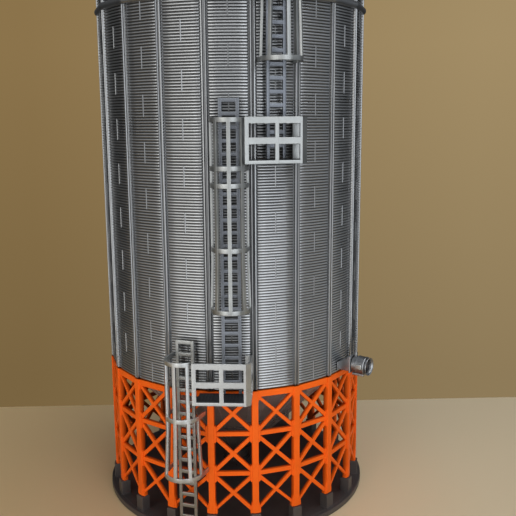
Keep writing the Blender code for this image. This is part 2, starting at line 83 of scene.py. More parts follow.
CAGE_C, HOOP_T, HOOP_H, BAR_W, BAR_T = 77.6, 1.0, 2.3, 1.85, 1.3
CAGE_FLARE = (1.2, 0.75, 0.75)
CAGES = (
    (-5.4, -0.3, 8.8, (-90, -45, 0, 45, 90), (35.9, 65.8, 94.4), 70.0),
    (0.0, 0.1, 8.85, (-90, -45, 0, 45, 90), (120.7, 149.7, 179.3, 187.0, 208.6), 188.5),
    (0.0, 0.2, 9.2, (-110, -55, 0, 55, 110), (235.3, 264.6, 293.9), None),
)
PLATFORMS = (
    (-3.6, 74.8, -13.7, (-0.6, 1.5), 12.2, 2.3),
    (-4.4, 188.9, -13.1, (1.0, 3.0), 13.9, 3.0),
)
DECK_T, PLAT_D0, PLAT_D1, PANEL_T = 1.5, 71.7, 85.0, 1.3
RAIL_TOP, RAIL_H, MID_RAIL, POST_W, FLANGE_W, FLANGE_D = 21.0, 3.0, 10.4, 2.1, 3.6, (70.35, 71.5)
FAN_AZ, FAN_Z = PHASE + 2.5 * STEP, 82.2


# ------------------------------------------------------------------- helpers
def polar(d, az, z=0.0, t=0.0):
    s, c = math.sin(az), math.cos(az)
    return (d * s + t * c, -d * c + t * s, z)


class Shell:
    """Closed solids gathered into one mesh."""

    def __init__(self):
        self.v, self.f = [], []

    def add(self, verts, faces):
        n = len(self.v)
        self.v.extend(verts)
        self.f.extend([tuple(n + i for i in f) for f in faces])

    def add_bm(self, bm):
        bm.verts.index_update()
        self.add([tuple(v.co) for v in bm.verts],
                 [tuple(v.index for v in f.verts) for f in bm.faces])
        bm.free()

    def mesh(self, name, sharp=None):
        mesh = bpy.data.meshes.new(name)
        mesh.from_pydata(self.v, [], self.f)
        bm = bmesh.new()
        bm.from_mesh(mesh)
        bmesh.ops.scale(bm, vec=(MM, MM, MM), verts=bm.verts)
        bmesh.ops.recalc_face_normals(bm, faces=bm.faces)
        bm.to_mesh(mesh)
        bm.free()
        mesh.shade_smooth()
        if sharp is not None:
            mesh.set_sharp_from_angle(angle=math.radians(sharp))
        return mesh


def prism(a, b):
    """Solid between two matching rings of points, as a bmesh."""
    bm = bmesh.new()
    va = [bm.verts.new(p) for p in a]
    vb = [bm.verts.new(p) for p in b]
    n = len(va)
    bm.faces.new(va)
    bm.faces.new(list(reversed(vb)))
    for i in range(n):
        j = (i + 1) % n
        bm.faces.new((va[i], vb[i], vb[j], va[j]))
    bmesh.ops.recalc_face_normals(bm, faces=bm.faces)
    return bm


def soften(bm, width, segments=2, angle=25.0):
    edges = [e for e in bm.edges
             if len(e.link_faces) == 2 and e.calc_face_angle(0.0) > math.radians(angle)]
    if width > 0 and edges:
        bmesh.ops.bevel(bm, geom=edges, offset=width, offset_type="OFFSET", segments=segments,
                        profile=0.5, affect="EDGES", clamp_overlap=True)
    return bm


def box(shell, az, t0, t1, d0, d1, z0, z1, edge=0.22, segments=2):
    plan = ((t0, d0), (t1, d0), (t1, d1), (t0, d1))
    shell.add_bm(soften(prism([polar(d, az, z0, t) for t, d in plan],
                              [polar(d, az, z1, t) for t, d in plan]), edge, segments))


def panel(shell, az, outline, d0, d1, edge=0.22, segments=2):
    """Plate of a bay: outline of (t, z) points, from distance d0 to d1."""
    shell.add_bm(soften(prism([polar(d0, az, z, t) for t, z in outline],
                              [polar(d1, az, z, t) for t, z in outline]), edge, segments))


def column(shell, az, plan, z0, z1, edge=0.22, segments=2):
    """Upright solid over an outline of (t, d) points."""
    shell.add_bm(soften(prism([polar(d, az, z0, t) for t, d in plan],
                              [polar(d, az, z1, t) for t, d in plan]), edge, segments))


def round_section(w, h, r, steps=2):
    """Rounded rectangle centred on the origin, as (x, y) points."""
    pts = []
    for cx, cy, a0 in ((w / 2 - r, h / 2 - r, 0), (-w / 2 + r, h / 2 - r, 90),
                       (-w / 2 + r, -h / 2 + r, 180), (w / 2 - r, -h / 2 + r, 270)):
        for k in range(steps + 1):
            a = math.radians(a0 + 90.0 * k / steps)
            pts.append((cx + r * math.cos(a), cy + r * math.sin(a)))
    return pts


def loft(shell, rings, close=False):
    """Skin over rings of points; ends are capped unless the loft closes on itself."""
    n, m = len(rings), len(rings[0])
    verts = [p for ring in rings for p in ring]
    faces = []
    for k in range(n if close else n - 1):
        a, b = k * m, ((k + 1) % n) * m
        for i in range(m):
            j = (i + 1) % m
            faces.append((a + i, a + j, b + j, b + i))
    if not close:
        faces.append(tuple(range(m - 1, -1, -1)))
        faces.append(tuple(range((n - 1) * m, n * m)))
    shell.add(verts, faces)


def turned(shell, profile, count, phase=0.0, place=None):
    """Turned solid from a closed profile of (radius, z), about the axis or place()."""
    place = place or (lambda r, a, z: polar(r, a, z))
    loft(shell, [[place(r, phase + 2 * math.pi * k / count, z) for r, z in profile]
                 for k in range(count)], close=True)


def finish(name, shell_or_mesh, mat, nodes, sharp=32.0, weighted=True):
    """One visible piece standing for CAD nodes."""
    mesh = shell_or_mesh if isinstance(shell_or_mesh, bpy.types.Mesh) else \
        shell_or_mesh.mesh(name, sharp)
    obj = bpy.data.objects.new(name, mesh)
    COLLECTION.objects.link(obj)
    mesh.materials.clear()
    mesh.materials.append(mat)
    if weighted:
        mod = obj.modifiers.new("normals", "WEIGHTED_NORMAL")
        mod.keep_sharp = True
    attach(obj, "root")
    if nodes:
        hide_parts(*nodes)
    return obj


# ----------------------------------------------------------------- materials
def plastic(name, colour, rough, metallic, layer=0.2, tone=0.10, grain=0.05, layer_bump=0.35,
            spec=0.5, rough_swing=0.05, coat=0.0, streak=0.06, painted_underside_shade=1.0, painted_shading=False):
    """Printed plastic: layer lines, mottled tone, fine grain and uneven gloss, with optional painted shade on
    downward faces and from a point attribute.
    """
    mat = bpy.data.materials.new(name)
    mat.use_nodes = True
    nt = mat.node_tree
    bsdf = nt.nodes["Principled BSDF"]
    bsdf.inputs["Metallic"].default_value = metallic
    bsdf.inputs["Specular IOR Level"].default_value = spec
    if coat > 0.0:
        bsdf.inputs["Coat Weight"].default_value = coat
        bsdf.inputs["Coat Roughness"].default_value = 0.3

    def node(kind, **values):
        n = nt.nodes.new(kind)
        for key, value in values.items():
            setattr(n, key, value)
        return n

    def link(a, b):
        nt.links.new(a, b)

    coord = node("ShaderNodeTexCoord")
    # layer lines, stacked along Z
    wave = node("ShaderNodeTexWave", wave_type="BANDS", bands_direction="Z", wave_profile="SIN")
    wave.inputs["Scale"].default_value = 2.0 * math.pi / (20.0 * layer * MM)
    wave.inputs["Distortion"].default_value = 0.6
    wave.inputs["Detail"].default_value = 1.0
    link(coord.outputs["Object"], wave.inputs["Vector"])
    # slow mottling
    slow = node("ShaderNodeTexNoise")
    slow.inputs["Scale"].default_value = 75.0
    slow.inputs["Detail"].default_value = 3.0
    link(coord.outputs["Object"], slow.inputs["Vector"])
    # tone of single layers: noise squeezed along Z
    squeeze = node("ShaderNodeMapping")
    squeeze.inputs["Scale"].default_value = (9.0, 9.0, 160.0)
    link(coord.outputs["Object"], squeeze.inputs["Vector"])
    stack = node("ShaderNodeTexNoise")
    stack.inputs["Scale"].default_value = 1.0
    stack.inputs["Detail"].default_value = 2.0
    link(squeeze.outputs["Vector"], stack.inputs["Vector"])
    # grain of the filament
    fine = node("ShaderNodeTexNoise")
    fine.inputs["Scale"].default_value = 2600.0
    fine.inputs["Detail"].default_value = 2.0
    link(coord.outputs["Object"], fine.inputs["Vector"])

    def swing(source, amount, low=0.3, high=0.7):
        """Map a noise to 1 - amount .. 1 + amount."""
        r = node("ShaderNodeMapRange")
        r.inputs["From Min"].default_value = low
        r.inputs["From Max"].default_value = high
        r.inputs["To Min"].default_value = 1.0 - amount
        r.inputs["To Max"].default_value = 1.0 + amount
        link(source, r.inputs["Value"])
        return r.outputs["Result"]

    def times(a, b):
        m = node("ShaderNodeMath", operation="MULTIPLY")
        link(a, m.inputs[0])
        link(b, m.inputs[1])
        return m.outputs["Value"]

    factor = times(times(swing(slow.outputs["Fac"], tone), swing(stack.outputs["Fac"], streak)),
                   swing(fine.outputs["Fac"], grain))
    if painted_underside_shade < 1.0:
        # painted shade: faces whose normals turn downwards get a darker base colour than those that look up
        geometry = node("ShaderNodeNewGeometry")
        parts = node("ShaderNodeSeparateXYZ")
        link(geometry.outputs["Normal"], parts.inputs["Vector"])
        shade = node("ShaderNodeMapRange", interpolation_type="SMOOTHSTEP")
        shade.inputs["From Min"].default_value = -0.35
        shade.inputs["From Max"].default_value = 0.30
        shade.inputs["To Min"].default_value = painted_underside_shade
        shade.inputs["To Max"].default_value = 1.0
        link(parts.outputs["Z"], shade.inputs["Value"])
        factor = times(factor, shade.outputs["Result"])
    if painted_shading:
        # painted shade and light read from a point attribute: darkens the base colour in grooves, on inner faces and
        # behind parts, and lightens the upper hopper
        shaded = node("ShaderNodeAttribute", attribute_name="painted_shading")
        factor = times(factor, shaded.outputs["Fac"])
    scale = node("ShaderNodeVectorMath", operation="SCALE")
    scale.inputs[0].default_value = colour
    link(factor, scale.inputs["Scale"])
    link(scale.outputs["Vector"], bsdf.inputs["Base Color"])

    r = node("ShaderNodeMapRange")
    r.inputs["From Min"].default_value = 0.3
    r.inputs["From Max"].default_value = 0.7
    r.inputs["To Min"].default_value = rough - rough_swing
    r.inputs["To Max"].default_value = rough + rough_swing
    link(stack.outputs["Fac"], r.inputs["Value"])
    link(r.outputs["Result"], bsdf.inputs["Roughness"])

    mix = node("ShaderNodeMath", operation="MULTIPLY_ADD")
    link(fine.outputs["Fac"], mix.inputs[0])
    mix.inputs[1].default_value = 0.35
    link(wave.outputs["Fac"], mix.inputs[2])
    bump = node("ShaderNodeBump")
    bump.inputs["Strength"].default_value = layer_bump
    bump.inputs["Distance"].default_value = 0.00003
    link(mix.outputs["Value"], bump.inputs["Height"])
    link(bump.outputs["Normal"], bsdf.inputs["Normal"])
    return mat


WALL = plastic("silver_wall", (0.55, 0.56, 0.575), 0.30, 0.92, tone=0.04, streak=0.03,
               rough_swing=0.03, layer_bump=0.05, grain=0.03, painted_underside_shade=0.6, painted_shading=True)
TRIM = plastic("silver_trim", (0.45, 0.46, 0.48), 0.32, 0.92, tone=0.06, streak=0.05, painted_underside_shade=0.5)
RAIL = plastic("silver_rail", (0.70, 0.71, 0.71), 0.32, 0.88, tone=0.05, streak=0.05, painted_underside_shade=0.25)
# painted shade: a darker copy of the rail silver, for the upper cage and railing
RAIL_SHADED = plastic("silver_rail_upper_painted_shade", (0.56, 0.575, 0.57), 0.34, 0.88, tone=0.07, streak=0.07, painted_underside_shade=0.25)
# painted shade and light: the ladders' silver is darker than the rails', and the lower ladder gets a lighter copy of
# it
LADDER = plastic("silver_ladder", (0.31, 0.33, 0.37), 0.30, 0.92, tone=0.07, painted_underside_shade=0.12)
LADDER_LIT = plastic("silver_ladder_lower_painted_light", (0.50, 0.51, 0.505), 0.32, 0.90, tone=0.08, painted_underside_shade=0.12)
ROOF = plastic("silver_roof", (0.45, 0.46, 0.48), 0.32, 0.92, tone=0.07, layer=0.2)
ORANGE = plastic("orange_frame", (1.0, 0.145, 0.010), 0.46, 0.0, tone=0.05, grain=0.03,
                 layer_bump=0.25, spec=0.12, streak=0.04, painted_shading=True)
SLATE = plastic("slate_base", (0.082, 0.070, 0.068), 0.42, 0.15, tone=0.16, grain=0.08)
CONE = plastic("slate_cone", (0.62, 0.51, 0.48), 0.30, 0.65, tone=0.14, layer_bump=0.3,
               painted_shading=True)
DECK = plastic("slate_deck", (0.06, 0.063, 0.072), 0.42, 0.3, tone=0.15)


# ---------------------------------------------------------------------- wall
def wave_height(u):
    """Corrugation between 0 in the valley and 1 on the crest; u counts waves."""
    h = 0.5 - 0.5 * math.cos(2.0 * math.pi * u)
    return h ** 0.3


def bowed(t):
    """Outward bow of a bay's sheets at t from its middle."""
    return BOW * (1.0 - (t / 9.16) ** 2)


def wall_panel(shell, az):
    """One corrugated bay, closed at the back; the crests fade out at its ends."""
    half = VALLEY * math.tan(HALF)
    cols = [(-half + 1.80, 0.0), (-half + 1.96, 0.7), (-half + 2.28, 1.0), (-4.6, 1.0), (0.0, 1.0),
            (4.6, 1.0), (half - 2.28, 1.0), (half - 1.96, 0.7), (half - 1.80, 0.0)]
    per_ring = WAVES * ROWS
    rows = RINGS * per_ring
    verts, faces = [], []
    s, c = math.sin(az), math.cos(az)
    for k in range(rows + 1):
        z = WALL_Z0 + RING_PITCH * k / per_ring
        h = WAVE_DEPTH * wave_height(k / ROWS)
        for t, a in cols:
            d = CREST - WAVE_DEPTH + h * a + bowed(t)
            verts.append((d * s + t * c, -d * c + t * s, z))
    m = len(cols)
    for k in range(rows):
        a, b = k * m, (k + 1) * m
        for i in range(m - 1):
            faces.append((a + i, a + i + 1, b + i + 1, b + i))
    # back, one row per ring of sheets
    base = len(verts)
    for j in range(RINGS + 1):
        z = WALL_Z0 + RING_PITCH * j
        for t in (cols[0][0], cols[-1][0]):
            verts.append((BACK * s + t * c, -BACK * c + t * s, z))
    for j in range(RINGS):
        l0, r0, l1, r1 = base + 2 * j, base + 2 * j + 1, base + 2 * j + 2, base + 2 * j + 3
        faces.append((r0, l0, l1, r1))
        for side, lo, hi in ((0, l0, l1), (m - 1, r0, r1)):
            mid = per_ring // 2
            for q in range(per_ring):
                k = j * per_ring + q
                p0, p1 = k * m + side, (k + 1) * m + side
                v = lo if q < mid else hi
                faces.append((v, p0, p1) if side == 0 else (v, p1, p0))
            pm = (j * per_ring + mid) * m + side
            faces.append((lo, pm, hi) if side == 0 else (lo, hi, pm))
    for row, l, r in ((0, base, base + 1),
                      (rows, base + 2 * RINGS, base + 2 * RINGS + 1)):
        o = [row * m + i for i in range(m)]
        for i in range(m - 1):
            v = l if i < m // 2 else r
            faces.append((v, o[i + 1], o[i]))
        faces.append((l, r, o[m // 2]))
    shell.add(verts, faces)


COS9, SIN9 = math.cos(HALF), math.sin(HALF)
LINE_R = VALLEY / COS9


def by_line(az, s, h, z, side):
    """Point beside a stiffener line: s along the bay from the line, h above its valleys."""
    return polar(LINE_R - s * SIN9 + h * COS9, az, z, side * (s * COS9 + h * SIN9))


STIFF_HALF = ((0.0, 0.50), (0.20, 0.60), (0.34, 1.30), (0.44, 1.43), (0.84, 1.46), (0.98, 1.36),
              (1.26, 0.66), (1.36, 0.12), (1.46, 0.05), (1.90, 0.05), (1.90, -0.5), (0.0, -0.5))


def stiffener(shell, az, sides, z0, z1):
    """Double-ridged upright over a joint line; one side only at a segment's end."""
    if len(sides) == 2:
        ring = [(s, h, 1) for s, h in STIFF_HALF[:-1]] + \
               [(s, h, -1) for s, h in reversed(STIFF_HALF[1:-1])]
    else:
        side = sides[0]
        ring = [(max(s, 0.02), h, side) for s, h in STIFF_HALF]
    ends = ((z0, 0.94), (z0 + 0.25, 1.0), (z1 - 0.25, 1.0), (z1, 0.94))
    rings = []
    for z, k in ends:
        rings.append([by_line(az, s, h * k if h > 0.1 else h, z, side) for s, h, side in ring])
    loft(shell, rings)


def teeth(shell, az, side, z0, z1):
    """Ends of the corrugations pressed up against the upright's flank."""
    pitch = RING_PITCH / WAVES
    for k in range(RINGS * WAVES):
        z = WALL_Z0 + (k + 0.5) * pitch
        if z - 0.45 < z0 or z + 0.45 > z1:
            continue
        rings = []
        for dz, pts in ((-0.44, ((1.00, 0.85), (1.32, 0.35), (1.2, -0.1))),
                        (0.02, ((0.97, 1.30), (1.74, 0.62), (1.3, -0.2))),
                        (0.40, ((1.00, 1.10), (1.44, 0.48), (1.2, -0.1)))):
            rings.append([by_line(az, s, h, z + dz, side) for s, h in pts])
        loft(shell, rings)


def seam_strips(shell, az, parity):
    """Narrow lap of two sheets, on alternate rings of a bay."""
    for r in range(RINGS):
        if (r + parity) % 2 == 0:
            continue
        z = WALL_Z0 + r * RING_PITCH
        plan = ((-0.32, VALLEY - 0.3), (0.32, VALLEY - 0.3), (0.32, CREST + BOW - 0.06),
                (0.10, CREST + BOW + 0.12), (-0.10, CREST + BOW + 0.12), (-0.32, CREST + BOW - 0.06))
        loft(shell, [[polar(d, az, z + 0.35, t) for t, d in plan],
                     [polar(d, az, z + RING_PITCH - 0.35, t) for t, d in plan]])


def groove_shade(mesh, count):
    """Painted shade of each point: dark below the crests, in the valleys, on the laps and beside the uprights."""
    shade = mesh.attributes.new("painted_shading", "FLOAT", "POINT")
    pitch = RING_PITCH / WAVES
    for i, v in enumerate(mesh.vertices):
        x, y, z = v.co.x / MM, v.co.y / MM, v.co.z / MM
        value = 1.0
        if i < count:
            f = min(max((math.cos(2.0 * math.pi * (z - WALL_Z0) / pitch - 0.5) + 0.05) / 0.85, 0.0), 1.0)
            value = 1.0 - 0.86 * f * f * (3.0 - 2.0 * f)
        else:
            az = math.atan2(x, -y)
            line = min(max(round(az / STEP), 0), 2) * STEP
            r = math.hypot(x, y)
            t, d = abs(r * math.sin(az - line)), r * math.cos(az - line) - LINE_R
            across, height = t * COS9 - d * SIN9, t * SIN9 + d * COS9
            if across < 0.27:
                value = 0.35                       # groove between the two ridges
            elif across < 1.05:
                value = 0.78
            elif across < 1.95:
                value = 0.45 if height < 0.8 else 0.6
            else:
                # painted shade on the laps, standing in for their edge shadows
                value = 0.7                        # laps of the sheets
        shade.data[i].value = value


def ladder_shade(mesh):
    """Darken the sheets behind ladders and platforms, where little light gets in."""
    shade = mesh.attributes["painted_shading"]
    for i, v in enumerate(mesh.vertices):
        x, y, z = v.co.x / MM, v.co.y / MM, v.co.z / MM
        az, r = math.atan2(x, -y), math.hypot(x, y)
        for line, shift, (z0, z1), depth in zip(LADDER_AZ, LADDER_SHIFT, LADDER_Z, (0.58, 0.58, 0.8)):
            if z0 < z < z1 and abs(az - line) < 0.3 and abs(r * math.sin(az - line) - shift) < 5.7:
                shade.data[i].value *= depth
        for line, (turn, z0, left, post, right, chamfer), depth in zip(
                LADDER_AZ[1:], PLATFORMS, (0.8, 0.5)):
            t = r * math.sin(az - line)
            if z0 - 1.0 < z < z0 + RAIL_TOP - 1.0 and abs(az - line) < 0.4 and left < t < right - 1.0:
                shade.data[i].value *= depth


def build_wall():
    smooth, crisp = Shell(), Shell()
    spans = ((WALL_Z0 + 0.3, BAND_Z0 - 0.1), (BAND_Z1 + 0.1, WALL_Z1 - 0.2))
    for n in (0, 1):
        wall_panel(smooth, (n + 0.5) * STEP)
        seam_strips(crisp, (n + 0.5) * STEP, n)
    for z0, z1 in spans:
        stiffener(crisp, 0.0, (1,), z0, z1)
        stiffener(crisp, STEP, (1, -1), z0, z1)
        stiffener(crisp, 2 * STEP, (-1,), z0, z1)
        for line, side in ((0, 1), (1, -1), (1, 1), (2, -1)):
            teeth(crisp, line * STEP, side, z0, z1)
    a, b = smooth.mesh("wall_a"), crisp.mesh("wall_b", 28.0)
    bm = bmesh.new()
    bm.from_mesh(a)
    bm.from_mesh(b)
    whole = bpy.data.meshes.new("wall")
    bm.to_mesh(whole)
    bm.free()
    groove_shade(whole, len(a.vertices))
    for k in range(BAYS // 2):
        mesh = whole.copy()
        mesh.transform(Matrix.Rotation(PHASE + 2 * k * STEP, 4, "Z"))
        ladder_shade(mesh)
        finish("wall_%02d" % (k + 1), mesh, WALL,
               ["wall_segment_%02d" % (k + 1)], weighted=False)
    bpy.data.meshes.remove(whole)
    bpy.data.meshes.remove(a)
    bpy.data.meshes.remove(b)


def build_band():
    """Bead over the joint of the wall's two halves, half-round outside."""
    shell = Shell()
    mid, half = (BAND_Z0 + BAND_Z1) / 2.0, (BAND_Z1 - BAND_Z0) / 2.0
    inner = 71.07
    profile = [(inner, BAND_Z1), (inner, BAND_Z0), (BAND_OUT - 1.15, BAND_Z0)]
    for k in range(1, 8):
        a = math.radians(-90 + 22.5 * k)
        profile.append((BAND_OUT - 1.15 + 1.15 * math.cos(a), mid + half * math.sin(a)))
    profile.append((BAND_OUT - 1.15, BAND_Z1))
    rings = []
    for n in range(BAYS):
        for f in (0.0, 0.06, 0.94):
            # the bead runs flat along each bay and turns at the lines
            a = PHASE + n * STEP
            ring = []
            for r, z in profile:
                p, q = Vector(polar(r, a, z)), Vector(polar(r, a + STEP, z))
                ring.append(tuple(p.lerp(q, f)))
            rings.append(ring)
    loft(shell, rings, close=True)
    finish("wall_joint_band", shell, TRIM, ["joint_band"], sharp=50)


# ---------------------------------------------------------------- leg ring
def build_frames():
    shell = Shell()
    mid = LEG_OUT - LEG_D / 2.0
    half = mid * math.sin(HALF)
    flat = mid * math.cos(HALF)
    for n in (0, 1):
        az = n * STEP
        w = LEG_W / 2.0
        box(shell, az, -w, w, LEG_OUT - LEG_D, LEG_OUT, LEG_BOTTOM, RING_TOP, 0.3, 3)
        foot = [(-FOOT_W / 2, LEG_BOTTOM), (FOOT_W / 2, LEG_BOTTOM),
                (FOOT_W / 2, LEG_BOTTOM + 2.4), (w - 0.1, LEG_BOTTOM + 7.2),
                (-w + 0.1, LEG_BOTTOM + 7.2), (-FOOT_W / 2, LEG_BOTTOM + 2.4)]
        panel(shell, az, foot, mid - 1.25, LEG_OUT - 0.35, 0.25)
        for z in NODE_Z[1:3]:
            g, e = FOOT_W / 2.0, GUSSET_H / 2.0
            plate = [(-g, z - e + 0.8), (-g + 0.5, z - e), (g - 0.5, z - e), (g, z - e + 0.8),
                     (g, z + e - 0.8), (g - 0.5, z + e), (-g + 0.5, z + e), (-g, z + e - 0.8)]
            panel(shell, az, plate, mid - 1.2, LEG_OUT - 0.42, 0.22)
        # small knee under the ring beam
        z = RING_TOP - RING_H
        knee = [(-FOOT_W / 2 - 0.2, z + 0.5), (-w + 0.1, z - 3.2), (w - 0.1, z - 3.2),
                (FOOT_W / 2 + 0.2, z + 0.5)]
        panel(shell, az, knee, mid - 1.15, LEG_OUT - 0.5, 0.2)
    for n in (0, 1):
        az = (n + 0.5) * STEP
        lo, hi = -half + 0.3, (half - 0.3 if n == 0 else half - 2.2)
        k = 0
        for low, high in zip(NODE_Z[:-1], NODE_Z[1:]):
            for a, b in ((low, high), (high, low)):
                run = Vector((2 * half, b - a)).normalized()
                lift = (BRACE_W / 2.0) / abs(run.x)
                slope = (b - a) / (2 * half)

                def level(x, up):
                    z = a + slope * (x + half) + up
                    return min(max(z, LEG_BOTTOM + 0.1), RING_TOP - 0.8)
                out = 0.02 * (k % 2)
                panel(shell, az, [(lo, level(lo, -lift)), (hi, level(hi, -lift)),
                                  (hi, level(hi, lift)), (lo, level(lo, lift))],
                      flat - BRACE_T / 2 - out, flat + BRACE_T / 2 + out, 0.24)
                k += 1
        for z in NODE_Z[1:3]:
            panel(shell, az, [(lo, z - STRUT_H / 2), (hi, z - STRUT_H / 2),
                              (hi, z + STRUT_H / 2), (lo, z + STRUT_H / 2)],
                  flat - BRACE_T / 2 - 0.1, flat + BRACE_T / 2 + 0.12, 0.26)
    # ring beam, from the first leg's far side to the next leg's near side
    def corner(r, n):
        return Vector(polar(r, n * STEP))
    trim = LEG_W / 2.0 / (2.0 * half)
    outer = [corner(RING_OUT, n) for n in (0, 1, 2)]
    inner = [corner(RING_IN, n) for n in (0, 1, 2)]
    start_o = outer[0] + (corner(RING_OUT, -1) - outer[0]) * trim
    start_i = inner[0] + (corner(RING_IN, -1) - inner[0]) * trim
    end_o = outer[2] + (outer[1] - outer[2]) * (trim + 0.003)
    end_i = inner[2] + (inner[1] - inner[2]) * (trim + 0.003)
    plan = [start_o, outer[0], outer[1], end_o, end_i, inner[1], inner[0], start_i]
    shell.add_bm(soften(prism([(p.x, p.y, RING_TOP - RING_H) for p in plan],
                              [(p.x, p.y, RING_TOP) for p in plan]), 0.28, 3, angle=40))
    whole = shell.mesh("frame", 32.0)
    # little light reaches the inner faces
    shade = whole.attributes.new("painted_shading", "FLOAT", "POINT")
    for i, v in enumerate(whole.vertices):
        az, r = math.atan2(v.co.x, -v.co.y), math.hypot(v.co.x, v.co.y) / MM
        depth = r * math.cos(az % STEP - HALF)
        shade.data[i].value = min(max(0.32 + 0.68 * (depth - 68.15) / 1.7, 0.32), 1.0)
    for k in range(BAYS // 2):
        mesh = whole.copy()
        mesh.transform(Matrix.Rotation(PHASE + 2 * k * STEP, 4, "Z"))
        finish("leg_frame_%02d" % (k + 1), mesh, ORANGE,
               ["support_frame_%02d" % (k + 1)])
    bpy.data.meshes.remove(whole)


# -------------------------------------------------------------- base, hopper
def build_base():
    shell = Shell()
    r, t = BASE_R, BASE_T
    profile = [(0.6, 0.0), (r - 0.45, 0.0), (r - 0.12, 0.14), (r, 0.45), (r, t - 0.55),
               (r - 0.18, t - 0.14), (r - 0.55, t), (r - 2.0, t), (r - 2.25, t - 0.16),
               (r - 2.5, t), (0.6, t)]
    rings = [[polar(a, PHASE + 2 * math.pi * k / 180, z) for a, z in profile] for k in range(180)]
    # a narrow centring hole keeps the turned profile a single closed ring
    loft(shell, rings, close=True)
    mid = LEG_OUT - LEG_D / 2.0
    for k in range(BAYS):
        box(shell, PHASE + k * STEP, -PIER_W / 2, PIER_W / 2, mid - PIER_D / 2, mid + PIER_D / 2,
            BASE_T - 0.6, PIER_TOP, 0.4, 3)
        box(shell, PHASE + k * STEP, -PIER_W / 2 - 0.25, PIER_W / 2 + 0.25, mid - PIER_D / 2 - 0.25,
            mid + PIER_D / 2 + 0.25, BASE_T - 0.6, BASE_T + 0.45, 0.2, 2)
    finish("base_disc", shell, SLATE, ["base_plate"])


def build_hopper():
    shell = Shell()
    z_low = HOPPER_Z - (HOPPER_R - OUTLET_R)
    t = HOPPER_T * math.sqrt(2.0)
    profile = [(HOPPER_R, HOPPER_Z), (HOPPER_R, HOPPER_Z - 0.6), (OUTLET_R + 0.6, z_low),
               (OUTLET_R, z_low - 0.5), (OUTLET_R, OUTLET_Z + 1.6), (OUTLET_R + 1.0, OUTLET_Z + 1.5),
               (OUTLET_R + 1.0, OUTLET_Z), (OUTLET_R - HOPPER_T, OUTLET_Z),
               (OUTLET_R - HOPPER_T, z_low + t - HOPPER_T), (HOPPER_R - t, HOPPER_Z)]
    turned(shell, profile, 120, PHASE)
    # standing seams between the cone's sheets
    for k in range(2 * BAYS):
        a = PHASE + k * STEP / 2.0
        w = 0.32
        rings = []
        for r, wide in ((HOPPER_R - 1.2, w), (OUTLET_R + 2.5, w * 0.7)):
            z = HOPPER_Z - 0.6 - (HOPPER_R - r) * (HOPPER_Z - 0.6 - z_low) / (HOPPER_R - OUTLET_R - 0.6)
            out = Vector((1.0, -1.0)).normalized()
            top = [(r - 0.4 * out.x, z - 0.4 * out.y, -wide), (r + 0.34 * out.x, z + 0.34 * out.y, -wide * 0.8),
                   (r + 0.5 * out.x, z + 0.5 * out.y, -wide * 0.45), (r + 0.5 * out.x, z + 0.5 * out.y, wide * 0.45),
                   (r + 0.34 * out.x, z + 0.34 * out.y, wide * 0.8), (r - 0.4 * out.x, z - 0.4 * out.y, wide)]
            rings.append([polar(rr, a, zz, tt) for rr, zz, tt in top])
        loft(shell, rings)
    mesh = shell.mesh("hopper", 32.0)
    # painted shade and light: the lower cone and the outlet are darkened, as they are in the dark of the leg ring,
    # and the top of the cone is painted lighter
    shade = mesh.attributes.new("painted_shading", "FLOAT", "POINT")
    for i, v in enumerate(mesh.vertices):
        shade.data[i].value = min(max(0.14 + 1.26 * (v.co.z / MM - 32.0) / 30.0, 0.14), 1.4)
    finish("hopper", mesh, CONE, ["hopper_cone"])


